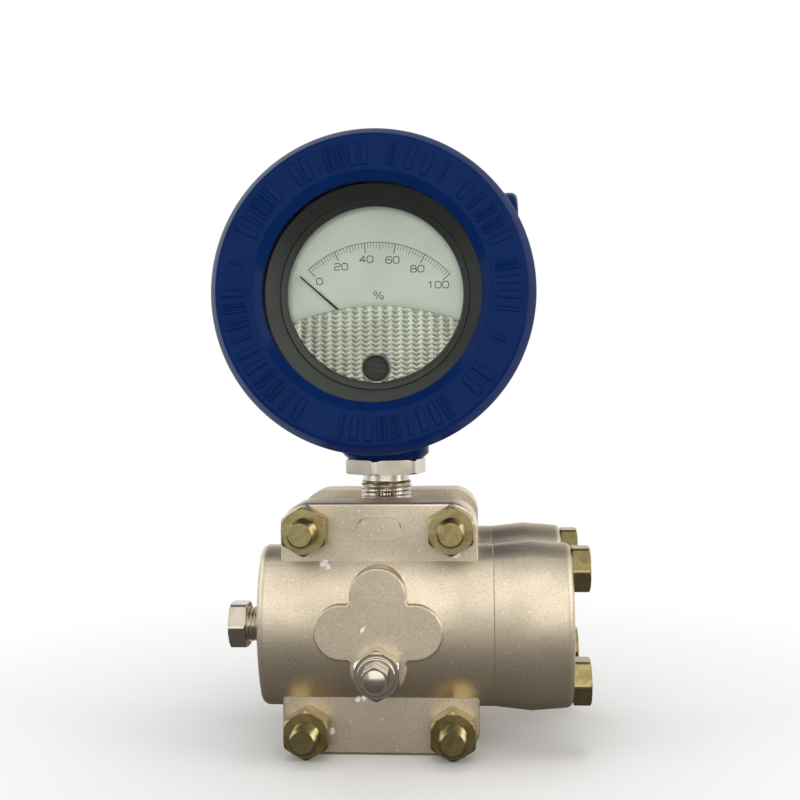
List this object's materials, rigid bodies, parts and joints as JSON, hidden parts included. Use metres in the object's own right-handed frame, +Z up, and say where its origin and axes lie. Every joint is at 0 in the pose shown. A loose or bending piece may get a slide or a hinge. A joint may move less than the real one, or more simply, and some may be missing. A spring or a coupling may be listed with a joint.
{
  "type": "differential pressure transmitter",
  "caption": "Pressure transmitter with a round blue housing, dial meter behind glass, threaded neck, and a cell clamped between oval steel process flanges.",
  "frame": {"origin": "on the surface that the flanges stand on, below the middle of the whole part", "axes": "+Z up along the neck, the dial faces -Y, the process ports open towards +X"},
  "size_m": [0.1336, 0.1206, 0.2244],
  "materials": {
    "blue_paint": "glossy deep-blue paint over cast aluminium",
    "cast_stainless": "bead-blasted stainless casting",
    "machined_stainless": "bright turned stainless",
    "yellow_zinc": "yellow passivated zinc",
    "seal_rubber": "black nitrile",
    "seal_ptfe": "white PTFE",
    "clear_glass": "clear tempered glass",
    "clear_plastic": "clear moulded plastic",
    "black_plastic": "black moulded plastic",
    "dial_face": "pale silver dial",
    "pointer_black": "thin blackened aluminium",
    "copper_wire": "enamelled copper",
    "magnet_steel": "plain steel",
    "circuit_board": "green board with black components",
    "nickel_brass": "nickel-plated brass"
  },
  "bodies": {
    "process_head": {"cell_body": "machined_stainless", "isolating_diaphragm_front": "machined_stainless", "isolating_diaphragm_rear": "machined_stainless", "process_seals": "seal_ptfe", "process_flange_front": "cast_stainless", "process_flange_rear": "cast_stainless", "flange_bolts": "yellow_zinc", "flange_nuts": "yellow_zinc", "adapter_front": "cast_stainless", "adapter_rear": "cast_stainless", "adapter_seals": "seal_ptfe", "adapter_bolts": "yellow_zinc", "end_plug_front": "machined_stainless", "end_plug_rear": "machined_stainless", "vent_seat_front": "machined_stainless", "vent_seat_rear": "machined_stainless", "neck_lock_nut": "machined_stainless"},
    "housing": {"housing_body": "blue_paint", "conduit_plug": "machined_stainless", "meter_case": "black_plastic", "meter_lens": "clear_plastic", "dial_plate": "dial_face", "magnet_yoke": "magnet_steel", "amplifier_board": "circuit_board", "calibration_board": "circuit_board", "board_standoffs": "nickel_brass", "terminal_block": "black_plastic", "terminal_screws": "nickel_brass", "ground_screw": "nickel_brass"},
    "front_seal": {"front_cover_seal": "seal_rubber"},
    "front_cover": {"front_cover": "blue_paint", "window_gasket": "seal_rubber", "window_glass": "clear_glass", "glass_retainer": "magnet_steel"},
    "rear_seal": {"rear_cover_seal": "seal_rubber"},
    "rear_cover": {"rear_cover": "blue_paint"},
    "pointer": {"pointer": "pointer_black", "moving_coil": "copper_wire"},
    "zero_screw": {"zero_adjust_screw": "black_plastic"},
    "vent_stem_front": {"vent_stem_front": "machined_stainless"},
    "vent_stem_rear": {"vent_stem_rear": "machined_stainless"}
  },
  "joints": [
    {"name": "housing_swivel", "type": "hinge", "parent": "process_head", "child": "housing", "pos_m": [-0.00965, 0, 0.1059], "axis": [0, 0, 1], "range_deg": [-90, 90]},
    {"name": "front_cover_travel", "type": "slide", "parent": "housing", "child": "front_seal", "axis": [0, -1, 0], "range_m": [0, 0.01351]},
    {"name": "front_cover_turn", "type": "hinge", "parent": "front_seal", "child": "front_cover", "pos_m": [-0.00965, 0, 0.1672], "axis": [0, -1, 0], "range_deg": [0, 3240]},
    {"name": "rear_cover_travel", "type": "slide", "parent": "housing", "child": "rear_seal", "axis": [0, 1, 0], "range_m": [0, 0.01351]},
    {"name": "rear_cover_turn", "type": "hinge", "parent": "rear_seal", "child": "rear_cover", "pos_m": [-0.00965, 0, 0.1672], "axis": [0, 1, 0], "range_deg": [0, 3240]},
    {"name": "pointer_turn", "type": "hinge", "parent": "housing", "child": "pointer", "pos_m": [-0.00965, -0.0368, 0.1499], "axis": [0, 1, 0], "range_deg": [0, 96], "stiffness_Nm_per_rad": 0.0002, "springref_deg": -17.19},
    {"name": "zero_screw_turn", "type": "hinge", "parent": "housing", "child": "zero_screw", "pos_m": [-0.00965, -0.039, 0.1409], "axis": [0, -1, 0], "range_deg": [-90, 90]},
    {"name": "vent_stem_front_turn", "type": "hinge", "parent": "process_head", "child": "vent_stem_front", "pos_m": [-0.00965, -0.045, 0.0329], "axis": [0, -1, 0], "range_deg": [0, 720]},
    {"name": "vent_stem_rear_turn", "type": "hinge", "parent": "process_head", "child": "vent_stem_rear", "pos_m": [-0.00965, 0.045, 0.0329], "axis": [0, 1, 0], "range_deg": [0, 720]}
  ],
  "couplings": [
    {"joint": "front_cover_travel", "follows": "front_cover_turn", "m_per_rad": 0.00023873},
    {"joint": "rear_cover_travel", "follows": "rear_cover_turn", "m_per_rad": 0.00023873}
  ]
}
